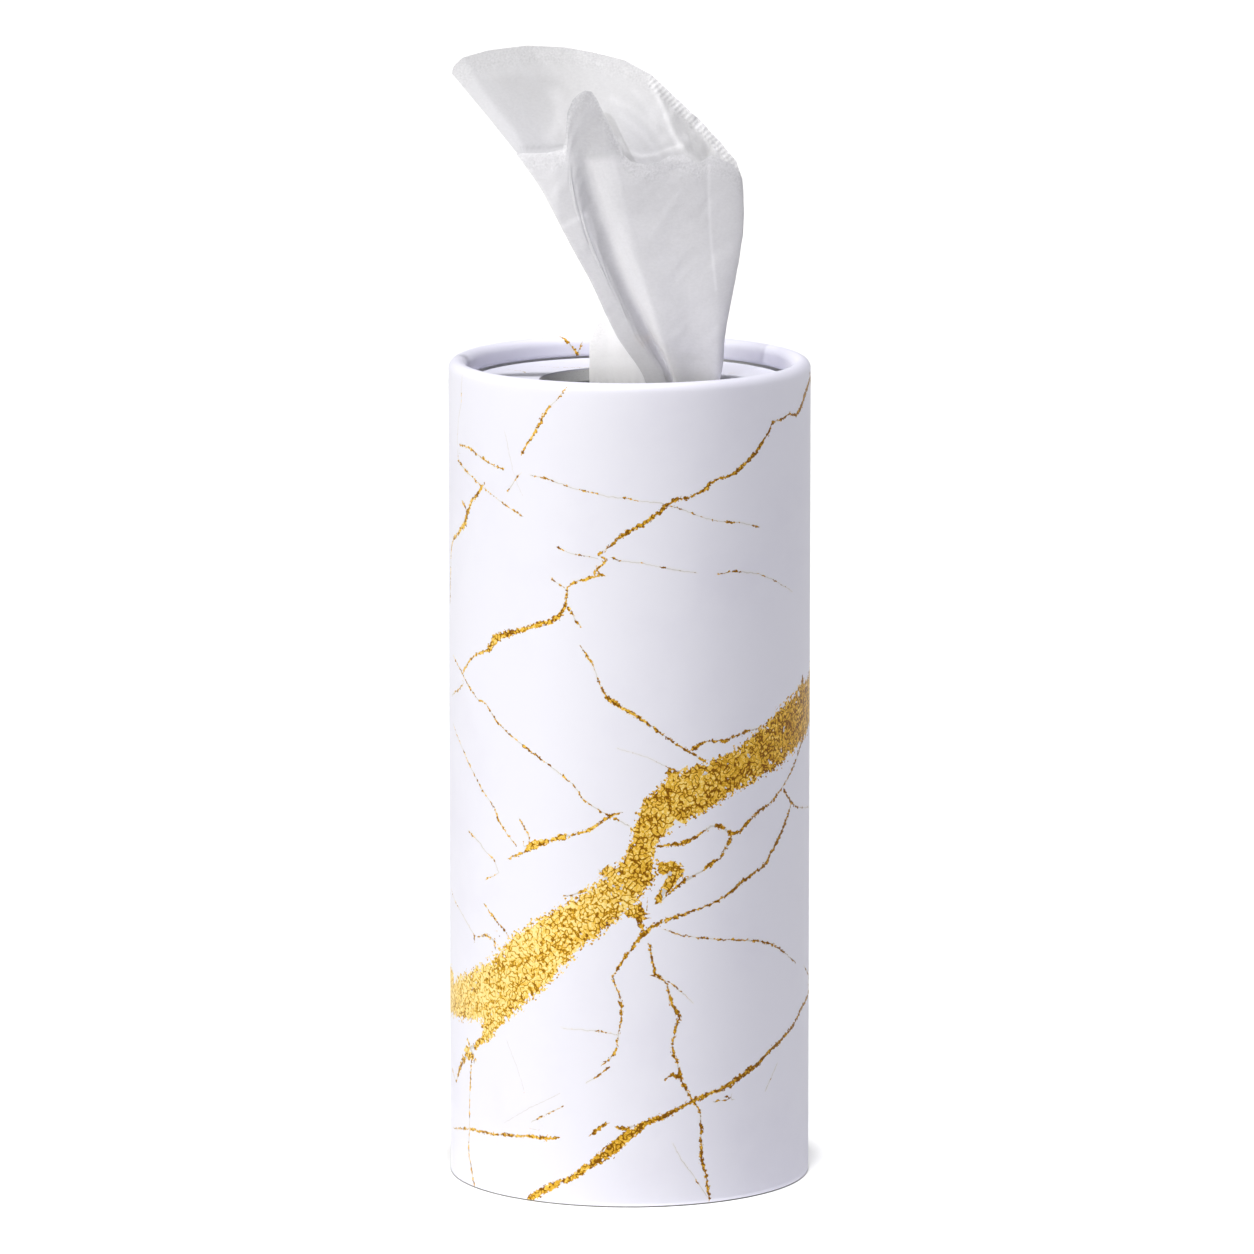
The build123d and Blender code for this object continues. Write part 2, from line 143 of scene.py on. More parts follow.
# Marble print. Each vein is a list of points on the photograph, in its pixels, then a half
# width in mm at each end of the vein and in the middle, and how solid its gold is, from 0 to 1.
# Veins that meet or cross are in different layers.
VEINS_ON_FRONT = {
    "band": [
        ([(453, 997), (474, 997), (500, 990), (530, 962), (566, 930), (598, 910), (621, 890), (636, 873),
          (641, 858), (643, 843), (648, 829), (660, 813), (680, 798), (704, 785), (728, 773), (750, 761),
          (769, 746), (786, 728), (799, 712), (806, 704)],
         (2.6, 4.2, 5.2, 5.3, 4.1, 3.6, 3.5, 3.3, 2.5, 2.1, 2.6, 3.6, 4.2, 4.1, 3.5, 3.8, 4.3, 4.8, 5.0,
          5.0), 1.0),
    ],
    "main": [
        # right rim down to the middle
        ([(807, 378), (802, 394), (799, 406), (794, 415), (787, 414), (778, 420), (770, 422), (768, 430),
          (761, 441), (754, 453), (746, 461), (734, 472), (725, 477), (715, 479), (704, 489), (692, 496)],
         (0.4, 0.42, 0.4, 0.25, 0.2, 0.16, 0.16, 0.2, 0.3, 0.34, 0.36, 0.36, 0.22, 0.16, 0.38, 0.2), 0.95),
        ([(692, 496), (677, 499), (668, 504), (658, 513), (648, 521), (636, 528), (624, 534), (612, 545),
          (599, 555)], (0.2, 0.25, 0.36, 0.28, 0.34, 0.42, 0.3, 0.2, 0.14), 0.95),
        ([(604, 575), (590, 578), (576, 582), (568, 587), (569, 594), (566, 604), (564, 612), (557, 619),
          (542, 624), (526, 629), (509, 634), (498, 638), (491, 650)],
         (0.12, 0.2, 0.25, 0.2, 0.2, 0.25, 0.35, 0.4, 0.42, 0.45, 0.6, 0.8, 0.45), 0.95),
        ([(491, 650), (478, 655), (471, 662), (465, 674)], (0.2, 0.12, 0.2, 0.14), 0.9),
        ([(467, 683), (461, 690), (455, 695)], (0.12, 0.14, 0.14), 0.85),
        ([(581, 646), (591, 660), (597, 675), (602, 690), (608, 698), (616, 703), (627, 711), (637, 716),
          (653, 728), (675, 744), (690, 753), (703, 761)],
         (0.1, 0.14, 0.1, 0.12, 0.3, 0.42, 0.26, 0.3, 0.18, 0.18, 0.18, 0.14), 0.9),
        # below the band, to the foot
        ([(649, 944), (654, 973), (666, 983), (671, 1005), (679, 1016), (674, 1032), (671, 1048),
          (678, 1068), (681, 1082), (690, 1098)],
         (0.22, 0.2, 0.14, 0.24, 0.3, 0.24, 0.22, 0.24, 0.25, 0.22), 0.93),
        ([(691, 1100), (699, 1111), (700, 1136), (700, 1159), (705, 1177), (708, 1200)],
         (0.2, 0.22, 0.24, 0.3, 0.24, 0.3), 0.93),
        ([(474, 1059), (472, 1098), (472, 1132), (471, 1150), (477, 1188)],
         (0.15, 0.14, 0.12, 0.16, 0.14), 0.86),
        # left edge, upper part
        ([(487, 483), (480, 494), (474, 501), (470, 513), (468, 523), (461, 534), (456, 539), (454, 549),
          (453, 602)], (0.16, 0.26, 0.3, 0.5, 0.5, 0.36, 0.3, 0.22, 0.2), 0.9),
    ],
    "arcs": [
        ([(599, 555), (606, 560), (604, 565), (594, 571), (598, 575), (606, 576)],
         (0.12, 0.16, 0.18, 0.2, 0.14, 0.1), 0.9),
        ([(807, 987), (799, 1007), (789, 1028), (768, 1050), (756, 1063), (742, 1074), (729, 1084),
          (715, 1091), (695, 1099), (681, 1107), (665, 1116), (647, 1122), (636, 1130), (621, 1141),
          (607, 1154), (590, 1166), (574, 1177), (553, 1186), (540, 1193), (529, 1200)],
         (0.3, 0.28, 0.3, 0.34, 0.42, 0.46, 0.42, 0.3, 0.4, 0.3, 0.42, 0.5, 0.75, 0.95, 0.9, 0.6, 0.5, 0.62,
          0.6, 0.42), 0.96),
        ([(802, 729), (794, 758), (786, 777), (779, 789), (769, 802), (756, 812), (746, 822), (738, 832),
          (729, 834), (720, 826), (710, 826), (696, 836), (683, 843), (670, 845), (657, 846)],
         (0.3, 0.22, 0.16, 0.16, 0.22, 0.24, 0.26, 0.3, 0.4, 0.32, 0.3, 0.22, 0.36, 0.2, 0.14), 0.92),
        ([(789, 803), (784, 819), (777, 837), (769, 852), (764, 864), (753, 872), (743, 879), (727, 894),
          (711, 904), (695, 910), (681, 915), (665, 920), (652, 926), (643, 934), (634, 945), (622, 962),
          (612, 978), (620, 996), (622, 1007), (621, 1023), (618, 1036), (617, 1049), (610, 1059),
          (602, 1065)],
         (0.26, 0.26, 0.3, 0.3, 0.25, 0.3, 0.3, 0.25, 0.16, 0.12, 0.3, 0.35, 0.25, 0.6, 0.22, 0.16, 0.08,
          0.18, 0.18, 0.12, 0.12, 0.14, 0.14, 0.14), 0.9),
        ([(487, 702), (498, 720), (511, 734), (528, 748), (543, 759), (559, 772), (574, 784), (584, 800),
          (599, 810), (613, 817), (629, 826)],
         (0.13, 0.14, 0.13, 0.16, 0.1, 0.12, 0.07, 0.12, 0.17, 0.2, 0.16), 0.82),
        ([(456, 655), (464, 671), (469, 682), (481, 700), (487, 702)], (0.08, 0.12, 0.16, 0.14, 0.13), 0.86),
        ([(461, 461), (471, 473), (484, 486), (497, 497), (509, 506), (524, 516)],
         (0.3, 0.16, 0.1, 0.05, 0.13, 0.1), 0.8),
        ([(456, 723), (465, 748), (474, 769), (479, 779), (486, 792), (496, 807), (501, 821), (510, 836),
          (518, 845)], (0.08, 0.1, 0.12, 0.14, 0.14, 0.08, 0.13, 0.1, 0.12), 0.8),
    ],
    "threads": [
        ([(510, 859), (526, 852), (533, 845), (550, 841), (563, 837), (576, 834), (588, 831), (602, 821),
          (614, 815), (622, 812)], (0.13, 0.2, 0.9, 0.35, 0.5, 0.2, 0.26, 0.18, 0.26, 0.16), 0.86),
        ([(521, 819), (530, 834), (531, 846)], (0.14, 0.16, 0.2), 0.85),
        ([(471, 831), (481, 841), (488, 852), (496, 859), (501, 873), (487, 880)],
         (0.14, 0.2, 0.14, 0.14, 0.1, 0.08), 0.72),
        ([(462, 445), (471, 447), (483, 457), (495, 465), (506, 469)], (0.08, 0.13, 0.14, 0.13, 0.1), 0.85),
        ([(531, 475), (547, 478), (560, 483), (576, 489), (595, 493), (609, 497), (626, 498), (637, 501),
          (660, 503)], (0.07, 0.16, 0.13, 0.1, 0.06, 0.12, 0.1, 0.05, 0.14), 0.7),
        ([(660, 503), (677, 508), (697, 516), (716, 521), (740, 523), (758, 527)],
         (0.15, 0.13, 0.08, 0.1, 0.15, 0.05), 0.72),
        ([(558, 547), (573, 554), (585, 556), (598, 559)], (0.05, 0.1, 0.12, 0.14), 0.75),
        ([(612, 558), (622, 561), (641, 563), (660, 567), (675, 570), (696, 573)],
         (0.16, 0.1, 0.12, 0.06, 0.17, 0.08), 0.68),
        ([(716, 574), (734, 571), (758, 574), (771, 580), (790, 592)], (0.16, 0.15, 0.12, 0.09, 0.06), 0.7),
        ([(465, 374), (464, 386), (464, 403), (461, 420), (460, 441), (461, 461)],
         (0.06, 0.07, 0.08, 0.05, 0.08, 0.12), 0.62),
        ([(568, 386), (561, 396), (555, 403), (547, 411), (542, 422), (535, 435), (529, 444), (523, 455)],
         (0.06, 0.13, 0.05, 0.2, 0.22, 0.22, 0.2, 0.1), 0.9),
        ([(522, 473), (518, 478), (513, 486), (509, 493)], (0.16, 0.13, 0.2, 0.06), 0.85),
        ([(662, 929), (683, 936), (711, 939), (738, 940), (756, 941), (769, 944), (781, 952), (793, 963)],
         (0.06, 0.09, 0.1, 0.15, 0.22, 0.2, 0.1, 0.1), 0.78),
        ([(801, 966), (807, 980)], (0.12, 0.16), 0.8),
        ([(708, 865), (700, 872), (688, 878), (677, 886), (668, 893), (659, 904)],
         (0.3, 0.22, 0.42, 0.3, 0.22, 0.2), 0.8),
        ([(470, 1039), (475, 1054), (467, 1058), (462, 1070), (459, 1082), (455, 1068)],
         (0.2, 0.6, 0.7, 0.35, 0.22, 0.1), 0.82),
        ([(456, 1128), (474, 1129), (489, 1133), (508, 1135), (531, 1136), (546, 1138), (560, 1138)],
         (0.08, 0.2, 0.22, 0.26, 0.24, 0.42, 0.1), 0.86),
        ([(591, 1135), (607, 1123)], (0.26, 0.4), 0.86),
        ([(533, 1122), (548, 1114), (565, 1106)], (0.16, 0.13, 0.06), 0.8),
        ([(691, 749), (706, 741), (723, 741), (734, 736), (748, 730), (759, 728)],
         (0.4, 0.2, 0.25, 0.25, 0.3, 0.42), 0.84),
    ],
    "twigs": [
        ([(569, 607), (575, 618), (581, 626)], (0.2, 0.16, 0.26), 0.9),
        ([(552, 578), (558, 583), (566, 588)], (0.05, 0.08, 0.16), 0.75),
        ([(465, 502), (470, 511)], (0.22, 0.2), 0.85),
        ([(730, 836), (725, 847), (718, 859), (708, 865), (700, 872)], (0.36, 0.35, 0.22, 0.4, 0.2), 0.88),
        ([(781, 790), (785, 796), (789, 803), (796, 808)], (0.14, 0.26, 0.24, 0.14), 0.85),
        ([(796, 808), (806, 807)], (0.12, 0.08), 0.7),
        ([(651, 975), (670, 983), (692, 1003)], (0.16, 0.1, 0.06), 0.8),
        ([(663, 1081), (671, 1074), (679, 1078)], (0.08, 0.4, 0.42), 0.82),
        ([(672, 1143), (680, 1159), (692, 1175), (706, 1197)], (0.06, 0.13, 0.1, 0.13), 0.6),
        ([(763, 1091), (775, 1063)], (0.14, 0.1), 0.62),
        ([(711, 1102), (729, 1099), (724, 1096)], (0.1, 0.12, 0.1), 0.7),
        ([(454, 889), (465, 914), (477, 935), (477, 942)], (0.05, 0.1, 0.14, 0.1), 0.78),
        ([(486, 903), (497, 919), (505, 928), (512, 939)], (0.05, 0.12, 0.13, 0.1), 0.82),
        ([(480, 937), (489, 935), (496, 940), (498, 950)], (0.13, 0.2, 0.36, 0.1), 0.8),
        ([(562, 1028), (585, 1030), (603, 1032), (618, 1035)], (0.05, 0.08, 0.1, 0.12), 0.66),
        ([(587, 1083), (598, 1076), (609, 1067)], (0.1, 0.14, 0.13), 0.78),
        ([(508, 1039), (518, 1065), (526, 1091)], (0.05, 0.06, 0.06), 0.35),
        ([(506, 1123), (533, 1107), (562, 1093)], (0.06, 0.07, 0.05), 0.4),
        ([(617, 1128), (625, 1129), (633, 1126)], (0.3, 0.36, 0.3), 0.9),
        ([(565, 897), (576, 894), (587, 889)], (0.2, 0.25, 0.3), 0.8),
        ([(506, 430), (510, 448), (515, 472), (523, 494)], (0.04, 0.08, 0.04, 0.05), 0.3),
        ([(617, 748), (647, 757), (670, 769), (684, 772), (691, 780)], (0.04, 0.07, 0.13, 0.22, 0.25), 0.55),
        ([(618, 884), (606, 878), (600, 871)], (0.3, 0.5, 0.3), 0.85),
        ([(642, 927), (636, 915), (640, 905)], (0.4, 0.7, 0.5), 0.9),
        ([(656, 902), (668, 886), (672, 872), (662, 868)], (0.6, 1.0, 1.9, 1.3), 0.93),
        # lumps on the band's edges, and its ragged lower left end
        ([(612, 873), (604, 872)], (1.4, 0.9), 0.97),
        ([(504, 1006), (494, 1022), (487, 1036)], (2.9, 2.2, 1.3), 0.97),
        ([(487, 1036), (478, 1046), (468, 1050)], (0.9, 0.45, 0.6), 0.88),
        ([(640, 912), (628, 912)], (1.5, 0.9), 0.93),
        ([(676, 777), (668, 773)], (0.9, 0.5), 0.93),
        ([(799, 690), (800, 676)], (0.9, 0.3), 0.86),
    ],
}

# Round the back, where the photograph doesn't reach: the same kind of veins, as degrees from the front
# towards the right and mm above the foot
VEINS_ON_BACK = {
    "band": [
        ([(84, 92.5), (98, 99.5), (118, 110), (136, 122), (150, 133), (163, 147), (172, 158), (180, 163)],
         (4.9, 4.3, 3.8, 4.3, 3.4, 4.0, 3.2, 3.0), 1.0),
        ([(-180, 5), (-150, 8), (-128, 15), (-110, 26), (-98, 33), (-86, 37), (-80, 37.5)],
         (1.4, 2.4, 3.3, 2.6, 3.2, 3.4, 3.2), 1.0),
    ],
    "main": [
        ([(84, 37), (92, 45), (101, 52), (112, 56), (124, 68), (139, 75), (152, 88), (171, 96), (180, 99)],
         (0.3, 0.3, 0.32, 0.4, 0.3, 0.25, 0.42, 0.3, 0.2), 0.93),
        ([(-180, 131), (-166, 124), (-152, 121), (-139, 111), (-127, 107), (-112, 98), (-99, 97),
          (-89, 104)],
         (0.4, 0.3, 0.45, 0.35, 0.5, 0.3, 0.2, 0.14), 0.93),
        ([(84, 157.5), (97, 149), (103, 146), (116, 131), (129, 127), (138, 118)],
         (0.4, 0.35, 0.2, 0.35, 0.25, 0.1), 0.93),
    ],
    "arcs": [
        ([(118, 110), (123, 97), (133, 88), (136, 74), (147, 62), (150, 47), (161, 33), (166, 19),
          (179, 11)],
         (0.4, 0.25, 0.2, 0.14, 0.25, 0.3, 0.2, 0.16, 0.1), 0.88),
        ([(-97, 34), (-107, 48), (-120, 55), (-126, 68), (-138, 77), (-146, 92), (-160, 101), (-178, 108)],
         (0.4, 0.25, 0.2, 0.3, 0.16, 0.2, 0.14, 0.1), 0.88),
        ([(-92, 121), (-104, 127), (-118, 138), (-124, 150), (-133, 158)], (0.25, 0.2, 0.3, 0.2, 0.2), 0.9),
    ],
    "threads": [
        ([(90, 21), (107, 17), (121, 22), (137, 14), (150, 5)], (0.16, 0.2, 0.12, 0.2, 0.3), 0.85),
        ([(-90, 14), (-101, 9), (-109, 1)], (0.12, 0.2, 0.14), 0.85),
        ([(-150, 8), (-143, 24), (-147, 38), (-161, 49), (-173, 66)], (0.2, 0.14, 0.2, 0.12, 0.06), 0.8),
        ([(104, 87), (118, 81), (127, 70)], (0.06, 0.14, 0.12), 0.7),
        ([(168, 141), (160, 127), (164, 112), (175, 103)], (0.1, 0.2, 0.12, 0.14), 0.82),
        ([(-155.5, 160.8), (-157, 162.4), (-160, 164.3), (-162.3, 166.4)], (0.12, 0.2, 0.3, 0.26), 0.84),
        ([(-95, 75), (-108, 79), (-121, 87), (-139, 84)], (0.14, 0.08, 0.16, 0.05), 0.7),
    ],
    "twigs": [
        ([(101, 52), (110, 44), (124, 42)], (0.2, 0.13, 0.06), 0.82),
        ([(-126, 68), (-113, 66), (-104, 60)], (0.14, 0.1, 0.06), 0.75),
        ([(-163, 162.8), (-162, 164), (-161.3, 165.2)], (0.12, 0.16, 0.16), 0.8),
        ([(-152, 121), (-156, 137), (-149, 151)], (0.22, 0.12, 0.14), 0.82),
    ],
}


def photo_ray(px, py):
    """Where the camera is and the direction in which it sees a pixel of the photograph."""
    eye = Vector(CAMERA_PLACE)
    ahead = (Vector(CAMERA_TARGET) - eye).normalized()
    right = ahead.cross(Vector((0, 0, 1))).normalized()
    up = right.cross(ahead)
    pixel = SENSOR_WIDTH / CAMERA_LENS / PHOTO_SIZE
    return eye, ahead + right * (px - PHOTO_SIZE / 2) * pixel - up * (py - PHOTO_SIZE / 2) * pixel


def on_wall(px, py):
    """Degrees from the front and millimetres above the foot of what a pixel shows of the tube's wall."""
    eye, ray = photo_ray(AXIS_PIXEL + (px - AXIS_PIXEL) * VIEW_SCALE, py)
    flat = Vector((ray.x, ray.y))
    start = Vector((eye.x, eye.y))
    a, b, c = flat.dot(flat), 2 * start.dot(flat), start.dot(start) - body_radius**2
    reach = (-b - math.sqrt(max(0.0, b * b - 4 * a * c))) / (2 * a)
    spot = eye + ray * reach
    return math.degrees(math.atan2(spot.x, -spot.y)), spot.z / MM


def vein_layers():
    """Every layer's veins as arrays of [across, up, half width] in mm, with their strength."""
    layers = {}
    round_mm = math.radians(1) * body_radius / MM
    for layer, veins in VEINS_ON_FRONT.items():
        placed = [([on_wall(*p) for p in points], widths, solid) for points, widths, solid in veins]
        placed += VEINS_ON_BACK[layer]
        layers[layer] = []
        for points, widths, solid in placed:
            rows = [(deg * round_mm, up, width) for (deg, up), width in zip(points, widths, strict=True)]
            layers[layer].append((np.array(rows), solid))
    return layers


VEIN_MARGIN = 1.3  # mm beyond a vein's edge at which its field starts to fade
END_TAPER = 0.7  # how fast a vein narrows beyond its end


def vein_field(across, up, veins):
    """Signed distance in mm to the nearest vein, its half width there and its strength, at each point."""
    best = np.full(across.shape, 1e6)
    field = np.zeros(across.shape + (3,))
    field[..., :2] = (50.0, -50.0)
    for rows, solid in veins:
        for k, ((x0, y0, w0), (x1, y1, w1)) in enumerate(zip(rows[:-1], rows[1:])):
            run = (x1 - x0, y1 - y0)
            length = max(1e-6, math.hypot(*run))
            along = ((across - x0) * run[0] + (up - y0) * run[1]) / length**2
            held = np.clip(along, 0, 1)
            distance = np.hypot(across - (x0 + held * run[0]), up - (y0 + held * run[1]))
            side = np.sign((across - x0) * run[1] - (up - y0) * run[0])
            beyond = np.zeros(along.shape)
            if k == 0:
                beyond = np.maximum(beyond, -along * length)
            if k == len(rows) - 2:
                beyond = np.maximum(beyond, (along - 1) * length)
            width = w0 + (w1 - w0) * held
            width = width - END_TAPER * beyond - 3 * np.maximum(0, distance - width - VEIN_MARGIN)
            values = np.stack([side * distance, width, np.full(width.shape, solid)], axis=-1)
            nearer = distance < best
            best = np.where(nearer, distance, best)
            field = np.where(nearer[..., None], values, field)
    return field


def mesh_piece(name, verts, faces, material, smooth=True):
    mesh = bpy.data.meshes.new(name)
    mesh.from_pydata([tuple(v) for v in verts], [], faces)
    mesh.validate()
    mesh.materials.append(material)
    if smooth:
        mesh.polygons.foreach_set("use_smooth", [True] * len(mesh.polygons))
    obj = bpy.data.objects.new(name, mesh)
    bpy.context.collection.objects.link(obj)
    return obj


def grid_faces(columns, rows, closed=False):
    """Quads of a grid whose vertices run column by column."""
    faces = []
    for c in range(columns if closed else columns - 1):
        for r in range(rows - 1):
            a = c * rows + r
            b = ((c + 1) % columns) * rows + r
            faces.append((a, b, b + 1, a + 1))
    return faces


def granules(n, per_mm):
    """Two random numbers for each flake, and the distance to the flake's edge."""
    cells = n.cells(per_mm)
    shade = n.new("ShaderNodeSeparateColor", {"Color": cells.outputs["Color"]})
    edge = n.cells(per_mm, "DISTANCE_TO_EDGE").outputs["Distance"]
    return shade.outputs[0], shade.outputs[1], edge


def gold_colour(n, broad):
    """Printed gold: pale yellow to amber flakes with dark curls, darker where it's thin, with painted shade
    darkening it to the right.
    """
    chance, _, edge = granules(n, 2.3)
    curls = n.math("ABSOLUTE", n.math("SUBTRACT", n.noise(0.95, 1.0, 0.4), 0.5))
    lines = n.ramp01(curls, 0.02, 0.075)
    flake_edge = n.ramp01(edge, 0.0, 0.12)
    clouds = n.noise(0.16, 3.0, 0.6)
    # Painted shade: the gold grows darker towards +x, the tube's right-hand side, as if lit from the left.
    side = n.new("ShaderNodeSeparateXYZ", {"Vector": n.millimetres()}).outputs[0]
    tone = n.math("MULTIPLY_ADD", side, -0.0075, n.math("MULTIPLY_ADD", clouds, 0.7, 0.2))
    tone = n.math("MULTIPLY_ADD", chance, 0.45, tone)
    tone = n.math("MULTIPLY_ADD", n.math("SUBTRACT", 1.0, lines), -0.66, tone)
    tone = n.math("MULTIPLY_ADD", n.math("SUBTRACT", 1.0, flake_edge), -0.24, tone)
    tone = n.math("MULTIPLY_ADD", n.math("SUBTRACT", 1.0, broad), -0.34, tone)
    ramp = n.new("ShaderNodeValToRGB", {"Fac": tone})
    stops = [(0.0, (0.22, 0.08, 0.0, 1)), (0.22, (0.47, 0.23, 0.008, 1)), (0.45, (0.74, 0.41, 0.03, 1)),
             (0.68, (0.91, 0.585, 0.09, 1)), (0.95, (0.97, 0.79, 0.34, 1))]
    while len(ramp.color_ramp.elements) < len(stops):
        ramp.color_ramp.elements.new(0.5)
    for element, (position, colour) in zip(ramp.color_ramp.elements, stops):
        element.position = position
        element.color = colour
    return ramp.outputs["Color"]


def paper_colour(n):
    """White varnished stock with a faint lavender cast and fainter grey clouds."""
    clouds = n.ramp01(n.noise(0.045, 4.0, 0.6), 0.45, 0.75)
    return n.mix(clouds, (0.83, 0.822, 0.935, 1), (0.80, 0.79, 0.91, 1))


def marble_material(layers):
    n = Nodes("marble_print")
    wobble = n.math("SUBTRACT", n.noise(0.8, 3.0, 0.6), 0.5)
    chance, other, _ = granules(n, 2.4)
    gaps = n.noise(0.42, 2.0, 0.7)
    beads = n.math("SUBTRACT", n.noise(1.3, 1.0, 0.5), 0.5)
    rare = n.math("POWER", other, 9.0)
    gold = broad = stain = grey_line = None
    for layer in layers:
        parts = n.new("ShaderNodeSeparateXYZ", {"Vector": n.attribute(f"vein_{layer}")})
        distance, width, solid = parts.outputs
        loose = n.math("MULTIPLY_ADD", width, 0.2, 0.3)  # how far the flakes stray
        thick = n.math("MULTIPLY_ADD", width, 1.06, 0.05)
        thin = n.math("SUBTRACT", 1.0, n.ramp01(width, 0.35, 1.2))
        thick = n.math("MULTIPLY_ADD", n.math("MULTIPLY", beads, thin), 0.8, thick)
        swing = n.math("MULTIPLY_ADD", wobble, n.math("MULTIPLY_ADD", width, 0.55, 0.55), distance)
        reach = n.math("ABSOLUTE", swing)
        edge = n.math("MULTIPLY_ADD", n.math("SUBTRACT", chance, 0.5), loose, thick)
        edge = n.math("MULTIPLY_ADD", rare, n.math("MULTIPLY", width, 0.55), edge)
        # weak veins break up into dashes
        broken = n.math("SUBTRACT", n.math("MULTIPLY_ADD", solid, 0.75, -0.03), gaps)
        edge = n.math("MINIMUM", edge, n.math("MULTIPLY", broken, n.math("MULTIPLY_ADD", width, 14.0, 1.5)))
        here = n.ramp01(n.math("SUBTRACT", edge, reach), 0.0, 0.05)
        thread = n.ramp01(n.math("SUBTRACT", n.math("MULTIPLY_ADD", width, 0.6, 0.04), reach), 0.0, 0.08)
        thread = n.math("MULTIPLY", thread, n.ramp01(gaps, 0.28, 0.45))
        grey_line = thread if grey_line is None else n.math("MAXIMUM", grey_line, thread)
        near = n.ramp01(n.math("SUBTRACT", n.math("ADD", width, 0.45), reach), 0.0, 0.5)
        near = n.math("MULTIPLY", near, n.math("MULTIPLY", solid, 0.28))
        wide = n.math("MULTIPLY", here, n.ramp01(width, 0.3, 1.6))
        broad = wide if gold is None else n.math("MAXIMUM", broad, wide)
        gold = here if gold is None else n.math("MAXIMUM", gold, here)
        stain = near if stain is None else n.math("MAXIMUM", stain, near)
    base = n.mix(stain, paper_colour(n), (0.82, 0.77, 0.68, 1))
    base = n.mix(n.math("MULTIPLY", grey_line, 0.5), base, (0.42, 0.38, 0.33, 1))
    n.set(Base_Color=n.mix(gold, base, gold_colour(n, broad)))
    n.set(Roughness=n.math("MULTIPLY_ADD", gold, -0.1, 0.5), Metallic=n.math("MULTIPLY", gold, 0.12))
    grain = n.math("MULTIPLY_ADD", gold, n.math("MULTIPLY_ADD", chance, 0.6, 0.5), n.noise(6.0, 2.0))
    n.set(Normal=n.bump(grain, 0.35, 0.03))
    n.feed(n.shader.inputs["Specular IOR Level"], n.math("MULTIPLY_ADD", gold, -0.25, 0.35))
    return n.material


def lid_print_material():
    """The lid's print: the same paper, darkened as painted shade, with a few thin grey-gold veins on its
    right half.
    """
    n = Nodes("lid_print")
    place = n.new("ShaderNodeSeparateXYZ", {"Vector": n.millimetres()})
    x, y, _ = place.outputs
    wave = n.math("MULTIPLY_ADD", n.math("SUBTRACT", n.noise(0.18, 3.0), 0.5), 7.0, y)
    flakes, _, _ = granules(n, 2.6)
    mask = None
    # veins: slope, height at the axis, half width in mm
    veins = [(0.12, 1.5, 0.2), (0.30, -13.0, 0.24), (-0.25, 13.5, 0.16), (-0.9, -8.0, 0.18)]
    for slope, height, half in veins:
        off = n.math("ABSOLUTE", n.math("SUBTRACT", n.math("MULTIPLY_ADD", x, slope, height), wave))
        edge = n.math("MULTIPLY_ADD", n.math("SUBTRACT", flakes, 0.6), 0.5, half)
        line = n.ramp01(n.math("SUBTRACT", edge, off), 0.0, 0.06)
        mask = line if mask is None else n.math("MAXIMUM", mask, line)
    patches = n.ramp01(n.noise(0.11, 2.0), 0.45, 0.6)
    mask = n.math("MULTIPLY", mask, patches)
    # Painted shade: the lid's paper is darker than the same paper on the wrap.
    paper = n.mix(n.noise(0.06, 3.0), (0.72, 0.715, 0.81, 1), (0.78, 0.775, 0.87, 1))
    n.set(Base_Color=n.mix(mask, paper, (0.45, 0.34, 0.16, 1)))
    n.set(Normal=n.bump(n.noise(6.0, 2.0), 0.3, 0.03), Roughness=0.5)
    return n.material


def board_material(name, light, dark, fleck, core=None):
    """Recycled board: mottled fibres, darker flecks, a fuzzy surface and a core colour at level cut ends,
    partly painted shade.
    """
    n = Nodes(name)
    fibres = n.noise(2.2, 4.0, 0.65, stretch=(1, 1, 3))
    flecks = n.ramp01(n.cells(1.6).outputs["Distance"], 0.12, 0.2)
    base = n.mix(flecks, fleck, n.mix(n.ramp01(fibres, 0.35, 0.65), light, dark))
    # Painted shade: a dark core colour on faces that point up or down; on the white board it darkens the gap
    # round the lid.
    if core:
        facing = n.new("ShaderNodeSeparateXYZ", {"Vector": n.new("ShaderNodeNewGeometry").outputs["Normal"]})
        base = n.mix(n.ramp01(n.math("ABSOLUTE", facing.outputs[2]), 0.6, 0.8), base, core)
    n.set(Base_Color=base, Roughness=0.92)
    n.set(Normal=n.bump(n.noise(3.5, 4.0, 0.7), 0.6, 0.08))
    return n.material


def white_paper_material():
    n = Nodes("white_paper")
    base = n.mix(n.noise(0.4, 4.0), grey(0.88), grey(0.93))
    n.set(Base_Color=base, Roughness=0.8, Normal=n.bump(n.noise(5.0, 3.0), 0.4, 0.04))
    return n.material


